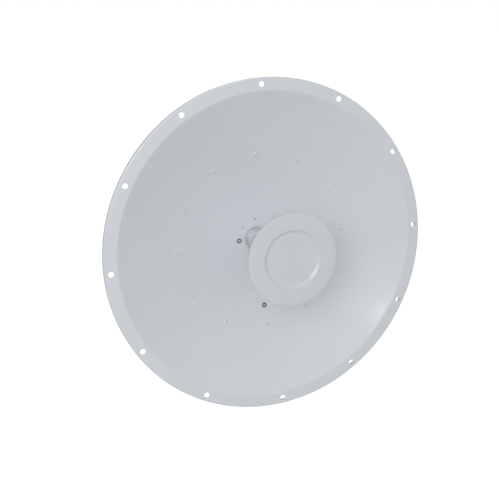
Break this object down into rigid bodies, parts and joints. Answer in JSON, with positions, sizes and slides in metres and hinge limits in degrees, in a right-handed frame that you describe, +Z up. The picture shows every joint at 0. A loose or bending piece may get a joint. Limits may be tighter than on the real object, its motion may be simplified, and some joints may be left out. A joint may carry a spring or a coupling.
{
  "type": "parabolic dish antenna",
  "caption": "Parabolic dish antenna: a pressed white bowl with a drilled flat rim, a feed tube ending in a flat disc, and a tilting mast bracket behind.",
  "frame": {"origin": "centre of the mast face, the flat back of the mast bracket; the dish's axis passes through it", "axes": "-Y is the way the dish looks, +Y points back towards the mast, +Z is up along the mast, +X is to the right seen from the front"},
  "size_m": [0.65, 0.3638, 0.65],
  "materials": {
    "dish_paint": "smooth semi-gloss pale grey-white powder coat",
    "bracket_paint": "satin pale grey-white powder coat",
    "feed_plastic": "smooth pale grey-white moulded plastic, satin",
    "cap_plastic": "grey moulded plastic",
    "subreflector_metal": "mill-finish sheet",
    "connector_metal": "gilt turned brass",
    "screw_steel": "bright stainless steel",
    "zinc_steel": "dull zinc-plated steel"
  },
  "bodies": {
    "root": {"back_plate": "dish_paint", "bracket_bolt_1": "zinc_steel", "bracket_bolt_2": "zinc_steel", "bracket_bolt_3": "zinc_steel", "bracket_bolt_4": "zinc_steel", "bracket_nut_1": "zinc_steel", "bracket_nut_2": "zinc_steel", "bracket_nut_3": "zinc_steel", "bracket_nut_4": "zinc_steel", "dish_bracket": "bracket_paint", "feed_disc_cover": "feed_plastic", "feed_latch": "feed_plastic", "feed_neck": "feed_plastic", "feed_rear_cap": "cap_plastic", "feed_tube": "feed_plastic", "hub_ring": "dish_paint", "hub_screw_left": "screw_steel", "hub_screw_right": "screw_steel", "lower_screw": "screw_steel", "mast_bracket": "bracket_paint", "pivot_bolt": "zinc_steel", "pivot_nut": "zinc_steel", "reflector": "dish_paint", "rf_connector_left": "connector_metal", "rf_connector_right": "connector_metal", "subreflector_plate": "subreflector_metal", "tilt_lock_bolt": "zinc_steel", "tilt_lock_nut": "zinc_steel", "u_bolt_lower": "zinc_steel", "u_bolt_nut_lower_left": "zinc_steel", "u_bolt_nut_lower_right": "zinc_steel", "u_bolt_nut_upper_left": "zinc_steel", "u_bolt_nut_upper_right": "zinc_steel", "u_bolt_upper": "zinc_steel"}
  },
  "joints": []
}
